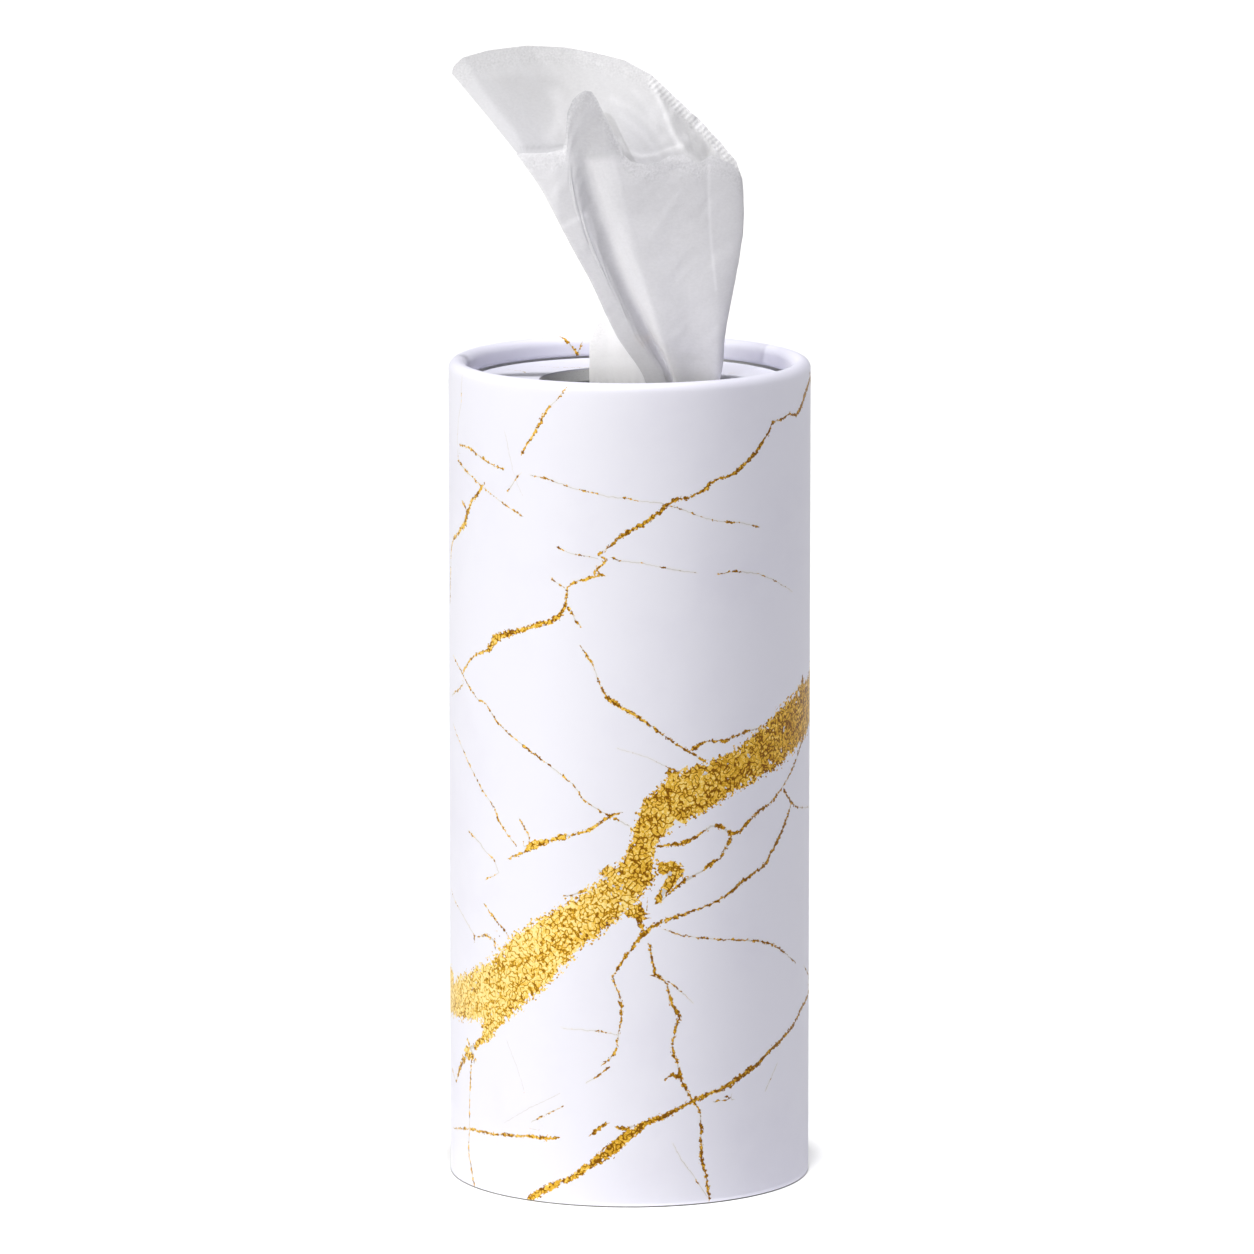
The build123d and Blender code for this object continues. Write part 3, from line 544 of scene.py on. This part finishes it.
def tissue_material(name, opacity, shade):
    """Thin plies: cloudy formation, fine creping, an embossed hem and the painted shade and light of its
    folds.
    """
    n = Nodes(name)
    parts = n.new("ShaderNodeSeparateXYZ", {"Vector": n.attribute("sheet")})
    tone, down, emboss = parts.outputs
    cloud = n.noise(0.16, 4.0, 0.6)
    crepe = n.noise(1.4, 3.0, 0.7, stretch=(1, 1, 1.6))
    speckle = n.noise(2.6, 1.0, 0.5)
    edge = n.ramp01(n.math("ABSOLUTE", n.math("SUBTRACT", down, 2.6)), 0.0, 0.35)
    hem = n.ramp01(n.math("SUBTRACT", 5.0, down), 0.0, 3.0)
    diagonal = n.new("ShaderNodeSeparateXYZ", {"Vector": n.millimetres()})
    across, _, up = diagonal.outputs
    run = n.math("SUBTRACT", n.math("MULTIPLY", across, 0.68), n.math("MULTIPLY", up, 0.73))
    stripes = n.math("SINE", n.math("MULTIPLY", run, 2 * math.pi / 0.95))
    band = n.ramp01(n.math("SUBTRACT", 2.9, down), 0.0, 0.4)
    crimp = n.math("MULTIPLY", n.math("MULTIPLY", stripes, band), emboss)
    dots = n.math("MULTIPLY", n.math("SUBTRACT", speckle, 0.5), hem)
    mottle = n.math("MULTIPLY_ADD", n.math("SUBTRACT", cloud, 0.5), 0.5, n.math("MULTIPLY", dots, 1.8))
    mottle = n.math("MULTIPLY_ADD", n.math("SUBTRACT", crepe, 0.5), 0.9, mottle)
    mottle = n.math("MULTIPLY_ADD", crimp, 0.55, mottle)
    mottle = n.math("MULTIPLY_ADD", n.math("SUBTRACT", 1.0, edge), -0.1, mottle)
    level = n.math("ADD", tone, n.math("MULTIPLY", mottle, 0.55))
    # Painted shade and light: the fold tones choose between a darkened and a lightened copy of the tissue's
    # colour.
    dark, light = shade * 0.62, min(0.97, shade * 1.38)
    share = n.math("MULTIPLY_ADD", level, 0.5, 0.5, clamp=True)
    low = (dark, dark * 0.988, dark * 1.075, 1)
    high = (light, light * 0.99, min(1.0, light * 1.045), 1)
    n.set(Base_Color=n.mix(share, low, high), Roughness=0.95)
    fine = n.math("MULTIPLY_ADD", dots, 2.0, n.math("MULTIPLY", crepe, 0.8))
    height = n.math("MULTIPLY_ADD", crimp, 1.0, fine)
    n.set(Normal=n.bump(height, 0.4, 0.1))
    n.shader.inputs["Alpha"].default_value = opacity
    n.shader.inputs["Specular IOR Level"].default_value = 0.1
    n.shader.inputs["Sheen Weight"].default_value = 0.15
    return n.material


def wrap_profile():
    """The printed paper's visible face from its lower edge, over the rim and down to its inner cut edge."""
    lip = board_thickness + wrap_thickness
    middle = body_radius - lip
    spring = body_height - lip
    mouth = middle - lip
    wall_step, lip_steps = 0.8 * MM, 14
    rows = int((spring - foot_edge) / wall_step)
    points = [(body_radius - wrap_thickness, foot_edge), (body_radius, foot_edge)]
    points += [(body_radius, foot_edge + (spring - foot_edge) * i / rows) for i in range(rows + 1)]
    for i in range(1, lip_steps + 1):
        turn = math.pi * i / lip_steps
        points.append((middle + lip * math.cos(turn), spring + lip * math.sin(turn)))
    low = body_height - turn_in_depth
    points += [(mouth, spring + (low - spring) * i / 3) for i in range(1, 4)]
    points.append((mouth + wrap_thickness, low))
    return points


def make_wrap(layers):
    """The printed paper as one skin with its glued lap down the back, and each vein layer as a field."""
    columns = 288
    lap_degrees, lap_rise = 8.0, 0.12 * MM
    profile = wrap_profile()
    travelled = [0.0]
    for (r0, z0), (r1, z1) in zip(profile[:-1], profile[1:]):
        travelled.append(travelled[-1] + math.hypot(r1 - r0, z1 - z0))
    up = np.array(travelled) / MM + foot_edge / MM - wrap_thickness / MM
    angles = np.linspace(-180, 180, columns + 1)
    verts = []
    for angle in angles:
        rise = lap_rise * min(1.0, max(0.0, (angle - 180 + lap_degrees) / 0.8))
        for r, z in profile:
            out = r + (rise if r >= body_radius - wrap_thickness / 2 else 0.0)
            turn = math.radians(angle)
            verts.append((out * math.sin(turn), -out * math.cos(turn), z))
    piece = mesh_piece("marble_wrap", verts, grid_faces(len(angles), len(profile)), marble_material(layers))
    across = np.radians(angles)[:, None] * body_radius / MM + np.zeros(len(profile))[None, :]
    heights = np.zeros(len(angles))[:, None] + up[None, :]
    for layer, veins in layers.items():
        field = vein_field(across, heights, veins)
        data = piece.data.attributes.new(f"vein_{layer}", "FLOAT_VECTOR", "POINT")
        data.data.foreach_set("vector", field.reshape(-1).astype(np.float32))
    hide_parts("printed_wrap")
    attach(piece, "tube")
    return piece


# Folds of the pulled tissue. Each level is a height above the foot in mm, then points (x, y) in mm: the back
# layer from the left edge to the right-hand fold, then the front layer from the fold back to the left edge.
# The gathered tail is the same down to its end inside the refill.
SHEET_TAIL = [(-6.5, 0.2), (-3.5, 1.0), (-1.0, 0.3), (2.0, 0.9), (4.6, 0.6), (5.2, -0.6), (4.4, -1.5),
              (1.5, -1.4), (-0.6, -2.2), (-1.8, -1.2), (-3.4, -2.2), (-6.4, -1.8)]
SHEET_LEVELS = [
    (66.0, SHEET_TAIL),
    (135.4, SHEET_TAIL),
    (155.5, [(3.4, 0.2), (7.0, 1.2), (9.5, 0.3), (12.5, 1.1), (15.8, 0.6), (17.6, -0.8), (16.8, -2.2),
             (13.0, -2.8), (9.3, -3.4), (8.5, -1.8), (7.3, -3.1), (3.2, -2.6)]),
    (165.0, [(-2.6, 0.4), (2.0, 1.6), (7.0, 0.6), (12.0, 1.6), (16.8, 1.0), (18.8, -0.8), (17.5, -2.6),
             (12.0, -3.6), (5.9, -4.7), (3.9, -1.9), (1.6, -4.0), (-2.6, -3.2)]),
    (175.0, [(-7.3, 0.6), (-2.0, 2.4), (4.0, 1.2), (11.0, 2.2), (18.0, 1.6), (20.6, -0.6), (17.4, -2.9),
             (11.0, -4.2), (3.3, -5.4), (-0.9, -3.0), (-3.6, -4.6), (-7.3, -3.8)]),
    (185.0, [(-12.7, 1.0), (-6.0, 3.6), (1.0, 2.0), (10.0, 3.0), (19.0, 2.2), (22.2, -0.4), (16.6, -3.0),
             (9.0, -4.6), (-0.3, -5.9), (-4.3, -3.2), (-8.3, -5.0), (-12.6, -4.2)]),
    (195.0, [(-18.1, 1.2), (-10.0, 5.0), (-2.0, 3.0), (9.0, 3.6), (19.0, 2.6), (22.1, -0.2), (16.2, -3.2),
             (8.0, -4.8), (-2.8, -6.2), (-7.8, -4.0), (-11.4, -5.2), (-17.9, -4.4)]),
    (206.0, [(-26.6, 0.6), (-15.0, 5.4), (-4.0, 4.2), (7.0, 4.2), (18.0, 2.8), (22.0, 0.0), (16.0, -3.0),
             (8.0, -4.6), (-3.2, -5.8), (-8.6, -5.2), (-12.6, -4.6), (-26.2, -3.6)]),
    (224.0, [(-41.0, -0.5), (-20.0, 4.0), (-6.0, 5.4), (7.0, 4.4), (18.0, 2.6), (23.0, 0.4), (16.0, -2.6),
             (8.0, -4.2), (-4.0, -5.4), (-8.6, -5.4), (-13.4, -4.4), (-41.5, -3.0)]),
]
# Top edges as seen from the front, in mm across and above the foot
BACK_TOP = [(-35.0, 215.5), (-34.4, 217.6), (-32.7, 219.2), (-27.6, 220.5), (-20.2, 221.2), (-12.8, 220.8),
            (-7.0, 219.7), (-1.1, 218.3), (4.3, 215.4), (9.2, 210.8), (14.1, 206.3), (18.0, 202.0),
            (20.9, 198.7), (22.0, 195.6), (23.5, 186.0)]
FRONT_TOP = [(-30.0, 200.6), (-21.6, 201.0), (-16.0, 201.2), (-13.0, 202.0), (-12.4, 205.0), (-12.2, 209.0),
             (-11.1, 211.6), (-9.8, 212.9), (-8.6, 213.5), (-7.4, 213.3), (-6.4, 211.9), (-5.0, 209.0),
             (-3.5, 206.0), (-1.9, 203.1), (-1.3, 201.1), (0.1, 199.7), (3.1, 199.1), (5.4, 199.4),
             (7.8, 200.6), (10.3, 200.9), (13.3, 199.0), (16.0, 200.6), (20.4, 198.4), (22.4, 195.0)]

# Painted shade and painted highlights on the pulled tissue: where it looks darker (several plies folded
# together, and shade in its folds) or brighter (a ridge that catches the light), as outlines in the
# photograph's pixels with a tone at the top and at the bottom of each
FRONT_TONES = [
    # the finger-shaped fold and the valley below it, in painted shade
    ([(568, 104), (572, 96), (580, 89), (592, 87), (598, 96), (605, 111), (613, 126), (623, 146), (622, 153),
      (606, 158), (588, 161), (593, 182), (601, 207), (613, 245), (626, 281), (641, 311), (656, 341),
      (667, 365), (677, 385), (668, 385), (655, 356), (640, 331), (622, 301), (605, 271), (592, 244),
      (583, 222), (577, 200), (573, 176), (569, 151), (566, 128)], -1.0, -0.1, 0.9),
    # the pale band that narrows to a line: a painted highlight on a pleat
    ([(590, 163), (612, 160), (619, 185), (625, 210), (633, 245), (645, 282), (655, 312), (662, 335),
      (668, 358), (676, 386), (672, 386), (662, 360), (652, 338), (640, 312), (626, 282), (613, 246),
      (601, 208), (593, 184)], -0.25, 0.75, 0.4),
    # the smooth right-hand panel
    ([(623, 150), (650, 161), (708, 160), (709, 200), (713, 260), (718, 310), (718, 386), (679, 386),
      (663, 335), (646, 282), (626, 210), (614, 158)], -0.45, 0.42, 0.5),
    # the narrow strip beside it
    ([(709, 160), (745, 155), (750, 386), (719, 386), (718, 310), (713, 260), (709, 200)], -0.12, 0.05, 0.3),
    # the left-hand panel
    ([(556, 160), (572, 165), (577, 200), (583, 222), (592, 244), (605, 271), (622, 301), (640, 331),
      (655, 356), (668, 386), (645, 386), (600, 310), (560, 235)], -0.3, -0.35, 0.5),
]
# Painted highlights and painted shade along lines: points in the photograph's pixels, width in mm and tone.
FRONT_STROKES = [
    ([(709, 165), (709, 200), (711, 240), (716, 290)], 0.3, 0.35),
    ([(563, 227), (574, 220), (586, 214)], 0.5, 0.4),
    ([(520, 152), (540, 153), (567, 151)], 0.4, 0.35),
]
BACK_TONES = [
    # the crumpled patch
    ([(612, 104), (625, 92), (645, 84), (655, 95), (664, 112), (674, 136), (686, 154), (668, 154),
      (640, 158), (626, 152), (617, 128)], 0.0, 0.15, 0.5),
    # the shaded strip inside the crimped edge
    ([(656, 86), (668, 97), (700, 135), (718, 162), (700, 162), (688, 152), (676, 135), (666, 112)],
     -0.6, -0.5, 0.3),
    # hem along the left edge, and the plain panel inside it
    ([(450, 72), (458, 60), (468, 62), (480, 85), (500, 112), (514, 128), (526, 150), (516, 150)],
     0.35, 0.35, 0.4),
    ([(482, 80), (520, 75), (560, 80), (570, 92), (566, 150), (528, 150), (510, 122), (495, 100)],
     -0.22, -0.15, 0.8),
]
# The same for the back layer: painted highlights and painted shade along lines.
BACK_STROKES = [
    ([(620, 140), (626, 151), (640, 156), (655, 155), (668, 150), (682, 146)], 0.4, 0.8),
    ([(650, 80), (657, 97), (664, 113), (673, 135), (686, 155)], 0.45, 0.55),
    ([(556, 95), (560, 108), (558, 125), (550, 138)], 1.4, 0.35),
    ([(520, 147), (540, 148), (567, 147)], 0.3, -0.45),
    ([(612, 100), (630, 108), (648, 122), (662, 140)], 0.8, 0.25),
    ([(622, 116), (638, 130), (652, 146)], 0.7, 0.22),
    ([(634, 92), (645, 104), (655, 122)], 0.6, 0.2),
]


def smooth_along(knots, values, at):
    """Monotone-safe smooth curve through values at knots: Catmull-Rom tangents, evaluated at the places."""
    knots = np.asarray(knots, float)
    values = np.asarray(values, float)
    slopes = np.gradient(values, knots, axis=0)
    i = np.clip(np.searchsorted(knots, at, side="right") - 1, 0, len(knots) - 2)
    span = (knots[i + 1] - knots[i])
    t = np.clip((at - knots[i]) / span, 0, 1)
    shape = (slice(None),) + (None,) * (values.ndim - 1)
    t, span = t[shape], span[shape]
    h00, h10 = 2 * t**3 - 3 * t**2 + 1, t**3 - 2 * t**2 + t
    h01, h11 = -2 * t**3 + 3 * t**2, t**3 - t**2
    return h00 * values[i] + h10 * span * slopes[i] + h01 * values[i + 1] + h11 * span * slopes[i + 1]


def value_noise(seed, *axes):
    """Smooth repeatable noise from -1 to 1, one unit per lattice step on each axis."""
    total = np.zeros(np.broadcast(*axes).shape)
    rng = np.random.default_rng(seed)
    for _ in range(6):
        turn = rng.uniform(0, 2 * math.pi)
        tilt = rng.uniform(0.6, 1.6)
        phase = rng.uniform(0, 2 * math.pi)
        travel = axes[0] * math.cos(turn) + axes[1] * math.sin(turn)
        total = total + np.sin(2 * math.pi * tilt * travel + phase)
    return total / 3.0


def on_plane(px, py, depth):
    """Millimetres across and above the foot of what a pixel shows on the upright plane y = depth (mm)."""
    eye, ray = photo_ray(px, py)
    spot = eye + ray * ((depth * MM - eye.y) / ray.y)
    return spot.x / MM, spot.z / MM


def from_line(x, z, points, closed):
    """Distance in mm to a line of points, negative inside it where it's closed."""
    points = points + points[:1] if closed else points
    nearest = np.full(x.shape, 1e6)
    inside = np.zeros(x.shape, bool)
    for (x0, z0), (x1, z1) in zip(points[:-1], points[1:]):
        dx, dz = x1 - x0, z1 - z0
        along = np.clip(((x - x0) * dx + (z - z0) * dz) / (dx * dx + dz * dz), 0, 1)
        nearest = np.minimum(nearest, np.hypot(x - x0 - along * dx, z - z0 - along * dz))
        if z0 != z1:
            inside ^= ((z0 > z) != (z1 > z)) & (x < x0 + (z - z0) * dx / dz)
    return np.where(inside, -nearest, nearest) if closed else nearest


def fold_tones(x, z, depth, tones, strokes):
    """Sum of the tones whose outlines and strokes cover each point, from about -1 to 1."""
    total = np.zeros(x.shape)
    for points, above, below, soft in tones:
        placed = [on_plane(px, py, depth) for px, py in points]
        high, low = max(p[1] for p in placed), min(p[1] for p in placed)
        cover = np.clip(0.5 - from_line(x, z, placed, True) / soft / 2, 0, 1)
        tone = below + (above - below) * np.clip((z - low) / (high - low), 0, 1)
        total += cover * tone
    for points, width, tone in strokes:
        placed = [on_plane(px, py, depth) for px, py in points]
        total += tone * np.exp(-((from_line(x, z, placed, False) / width) ** 2))
    return np.clip(total, -1.2, 1.2)


def make_sheet(name, node, body, levels, top_of, material, columns, rows, pleats, wrinkle, tone_of):
    """A folded tissue: smooth folds through the levels' points, gathered pleats and fine wrinkles.

    top_of gives the height in mm at which a column ends, from where it stands across the sheet.
    """
    heights = np.array([height for height, _ in levels])
    folds = np.array([points for _, points in levels], float)
    places = np.linspace(0, 1, folds.shape[1])
    share = np.linspace(0, 1, columns)
    curves = smooth_along(places, np.moveaxis(folds, 1, 0), share)  # column, level, xy
    curves = np.moveaxis(curves, 0, 1)
    verts = np.zeros((columns, rows, 3))
    fine = np.linspace(heights[0], heights[-1], 500)
    tracks = smooth_along(heights, curves, fine)  # height, column, xy
    tops = np.zeros(columns)
    for c in range(columns):
        limit = top_of(share[c], tracks[:, c, 0])
        over = np.nonzero(fine > limit)[0]
        first = over[0] if len(over) else len(fine) - 1
        below, above = max(first - 1, 0), first
        gap0, gap1 = limit[below] - fine[below], limit[above] - fine[above]
        part = gap0 / max(1e-9, gap0 - gap1)
        tops[c] = fine[below] + part * (fine[above] - fine[below])
    for c in range(columns):
        z = heights[0] + (tops[c] - heights[0]) * np.linspace(0, 1, rows) ** 0.8
        xy = np.stack([np.interp(z, fine, tracks[:, c, k]) for k in range(2)], axis=-1)
        verts[c, :, :2] = xy
        verts[c, :, 2] = z
    # pleats and wrinkles push each point along the sheet's own normal
    run = np.gradient(verts[..., :2], axis=0)
    length = np.maximum(np.hypot(run[..., 0], run[..., 1]), 1e-6)
    normal = np.stack([run[..., 1] / length, -run[..., 0] / length], axis=-1)
    z = verts[..., 2]
    s = share[:, None] + np.zeros(rows)[None, :]
    travel = np.cumsum(length, axis=0)
    push = pleats(s, z) + wrinkle(s, z, travel)
    verts[..., :2] += normal * push[..., None]
    rim = body_height / MM
    verts[..., 0] /= VIEW_SCALE
    verts[..., 2] = np.where(z > rim, rim + (z - rim) / VIEW_SCALE, z)
    tops = np.where(tops > rim, rim + (tops - rim) / VIEW_SCALE, tops)
    z = verts[..., 2]
    piece = mesh_piece(name, verts.reshape(-1, 3) * MM, grid_faces(columns, rows), material)
    tone, emboss = tone_of(s, verts[..., 0], z)
    values = np.stack([tone, tops[:, None] - z, emboss], axis=-1)
    data = piece.data.attributes.new("sheet", "FLOAT_VECTOR", "POINT")
    data.data.foreach_set("vector", values.reshape(-1).astype(np.float32))
    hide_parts(node)
    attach(piece, body)
    return piece


def make_popped_tissue():
    fold = 5 / 11  # where along the sheet the right-hand fold is
    back_x, back_z = zip(*BACK_TOP)
    front_x, front_z = zip(*FRONT_TOP)

    def top_of(share, x):
        back = np.interp(x, back_x, back_z)
        front = np.interp(x, front_x, front_z)
        return back if share <= fold else front

    def pleats(s, z):
        gathered = np.clip((154.5 - z) / 12, 0, 1)
        sharp = 2 / math.pi * np.arcsin(np.sin(2 * math.pi * (22 * s + 0.35 * np.sin(9 * s))))
        return 1.6 * gathered * sharp

    def wrinkle(s, z, travel):
        along = value_noise(11, travel / 9.0, z / 60.0) * 0.14
        small = value_noise(23, travel / 4.0, z / 12.0) * 0.05
        crumpled = np.exp(-(((s - 0.36) / 0.07) ** 2)) * np.clip((z - 197) / 8, 0, 1)
        plain = np.where((s > fold) & (s < 0.75), 0.45, 1.0)
        free = np.clip((z - 156) / 12, 0.2, 1)
        return (along + small) * plain * free + crumpled * value_noise(5, travel / 3.2, z / 3.6) * 0.5

    def tone_of(s, x, z):
        front = fold_tones(x, z, -4.0, FRONT_TONES, FRONT_STROKES)
        back = fold_tones(x, z, 3.0, BACK_TONES, BACK_STROKES)
        # Painted light: the tissue is made lighter towards its lower part, down by the rim.
        low = 0.35 * np.clip((176 - z) / 18, 0, 1)
        return np.where(s > fold, front, back) + low, np.where((s <= fold) & (x > 3.5), 1.0, 0.0)

    return make_sheet("pulled_tissue", "popped_tissue", "tissue", SHEET_LEVELS, top_of,
                      tissue_material("tissue_thin", 0.82, 0.66), 300, 250, pleats, wrinkle,
                      tone_of)


NEXT_TAIL = [(-5.6, 2.6), (-2.0, 4.0), (1.6, 2.6), (5.0, 3.8)]
NEXT_LEVELS = [
    (66.0, NEXT_TAIL),
    (135.4, NEXT_TAIL),
    (155.5, [(-7.9, 5.2), (-4.0, 3.6), (0.5, 2.4), (6.0, 3.0)]),
    (162.0, [(-7.9, 5.2), (-4.5, 3.8), (-0.5, 2.4), (5.0, 3.0)]),
    (178.0, [(-8.0, 5.2), (-5.0, 4.0), (-2.0, 2.6), (4.0, 3.2)]),
]
NEXT_TOP = [(-8.2, 161.2), (-7.5, 163.5), (-6.0, 166.5), (-4.75, 169.5), (-3.6, 169.6), (-1.0, 166.0),
            (2.0, 162.0), (6.0, 158.0)]


def make_next_tissue():
    top_x, top_z = zip(*NEXT_TOP)

    def top_of(share, x):
        return np.interp(x, top_x, top_z)

    def pleats(s, z):
        gathered = np.clip((156 - z) / 12, 0, 1)
        return 0.9 * gathered * 2 / math.pi * np.arcsin(np.sin(2 * math.pi * 9 * s))

    def wrinkle(s, z, travel):
        return value_noise(41, travel / 8.0, z / 20.0) * 0.2

    def tone_of(s, x, z):
        # Painted light: the following sheet is lightened all over, by this tone and by its material's light
        # base colour.
        return np.full(x.shape, 0.95), np.zeros(x.shape)

    return make_sheet("following_sheet", "next_tissue", "following tissue", NEXT_LEVELS, top_of,
                      tissue_material("tissue_thick_painted_light", 0.95, 0.93), 120, 130, pleats, wrinkle,
                      tone_of)


def make_refill():
    """The refill's stack of folded sheets rolled up: layers seen as a fine spiral on its end."""
    half_turns, turns_pitch, stack = 3, 9.0 * MM, 8.6 * MM
    outer = roll_high[0]
    low, high = roll_low[2], roll_high[2]
    sheets, steps = 16, 40
    verts, faces = [], []
    for sheet in range(sheets):
        inset = stack * (sheet + 0.5) / sheets
        thick = stack / sheets * 0.62
        path = []
        for half in range(half_turns):
            centre = -turns_pitch / 2 if half % 2 else 0.0
            radius = outer - half * turns_pitch / 2 - inset
            for i in range(steps if half < half_turns - 1 else steps + 1):
                turn = math.pi * (half + i / steps)
                path.append((centre, radius, turn))
        drop = 0.25 * MM * math.sin(sheet * 2.4)
        start = len(verts)
        for centre, radius, turn in path:
            for r, z in [(radius - thick / 2, low), (radius + thick / 2, low),
                         (radius + thick / 2, high - abs(drop)), (radius - thick / 2, high - abs(drop))]:
                verts.append((centre + r * math.cos(turn), r * math.sin(turn), z))
        for i in range(len(path) - 1):
            for k in range(4):
                a, b = start + 4 * i + k, start + 4 * i + (k + 1) % 4
                faces.append((a, b, b + 4, a + 4))
        last = start + 4 * (len(path) - 1)
        faces += [(start + 3, start + 2, start + 1, start), (last, last + 1, last + 2, last + 3)]
    n = Nodes("tissue_roll")
    base = n.mix(n.noise(0.5, 3.0), grey(0.82), grey(0.9))
    n.set(Base_Color=base, Roughness=0.95, Normal=n.bump(n.noise(2.2, 3.0, stretch=(1, 1, 0.3)), 0.6, 0.15))
    piece = mesh_piece("refill_roll", verts, faces, n.material, smooth=False)
    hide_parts("tissue_roll")
    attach(piece, "tube")
    return piece


def dress(material, *nodes):
    """Give CAD nodes that keep their shape a finished material."""
    for node in nodes:
        slots = bpy.data.objects[node].material_slots
        for slot in slots:
            slot.material = material


def make_camera():
    data = bpy.data.cameras.new("photo_camera")
    data.lens = CAMERA_LENS
    data.sensor_width = SENSOR_WIDTH
    data.clip_end = 50
    camera = bpy.data.objects.new("photo_camera", data)
    bpy.context.collection.objects.link(camera)
    camera.location = CAMERA_PLACE
    aim = Vector(CAMERA_TARGET) - Vector(CAMERA_PLACE)
    camera.rotation_euler = aim.to_track_quat("-Z", "Y").to_euler()
    bpy.context.scene.camera = camera


def soft_sun(name, toward, power, spread, colour=(1, 1, 1)):
    """A large far-off light: toward points from the object to it and spread is its width in degrees."""
    data = bpy.data.lights.new(name, "SUN")
    data.energy = power
    data.angle = math.radians(spread)
    data.color = colour
    light = bpy.data.objects.new(name, data)
    bpy.context.collection.objects.link(light)
    light.location = Vector(toward)
    light.rotation_euler = Vector(toward).to_track_quat("Z", "Y").to_euler()


def tissue_spot(place, target, radius, power):
    """A narrow spotlight that covers the tissue, radius metres round the target, and misses the tube."""
    aim = Vector(target) - Vector(place)
    data = bpy.data.lights.new("tissue_spot", "SPOT")
    data.energy = power
    data.spot_size = 2 * math.atan(radius / aim.length)
    data.spot_blend = 0.5
    data.shadow_soft_size = 0.014
    light = bpy.data.objects.new("tissue_spot", data)
    bpy.context.collection.objects.link(light)
    light.location = place
    light.rotation_euler = aim.to_track_quat("-Z", "Y").to_euler()


def make_studio():
    n = Nodes("studio_floor")
    n.set(Base_Color=grey(0.97), Roughness=0.9)
    n.shader.inputs["Specular IOR Level"].default_value = 0.0
    reach = 8.0
    corners = [(-reach, -reach, 0), (reach, -reach, 0), (reach, reach, 0), (-reach, reach, 0)]
    mesh_piece("studio_floor", corners, [(0, 1, 2, 3)], n.material, smooth=False)
    world = bpy.data.worlds.new("studio")
    world.use_nodes = True
    world.node_tree.nodes["Background"].inputs["Color"].default_value = (0.97, 0.96, 1.0, 1)
    world.node_tree.nodes["Background"].inputs["Strength"].default_value = 0.03
    bpy.context.scene.world = world
    soft_sun("overhead", (0, -0.07, 1), 3.1, 3.5)
    soft_sun("key", (-0.80, -0.62, 0.21), 1.88, 34, (1.0, 0.995, 0.89))
    tissue_spot((-0.45, -1.25, 0.892), (0, 0, 0.188), 0.04, 30)
    bpy.context.scene.view_settings.view_transform = "Standard"


make_camera()
make_studio()
layers = vein_layers()
make_wrap(layers)
make_popped_tissue()
make_next_tissue()
make_refill()
dress(lid_print_material(), "lid_wrap")
dress(board_material("greyboard", (0.34, 0.33, 0.32, 1), (0.26, 0.255, 0.25, 1), (0.16, 0.15, 0.14, 1)),
      "tube_wall", "base_board")
# Painted light: the lid board is made nearly white so its cut edge in the opening, which lies in shade,
# shows light grey.
dress(board_material("pale_board_painted_light", grey(0.93), grey(0.88), grey(0.75)), "lid_board")
# The white board's near-black core colour is partly its real core, partly painted shade in the gap round the
# lid.
dress(board_material("white_board", grey(0.88), grey(0.82), grey(0.72), core=grey(0.16)),
      "neck_ring", "base_collar", "plug_ring")
dress(white_paper_material(), "inner_liner", "base_lining", "lid_lining")
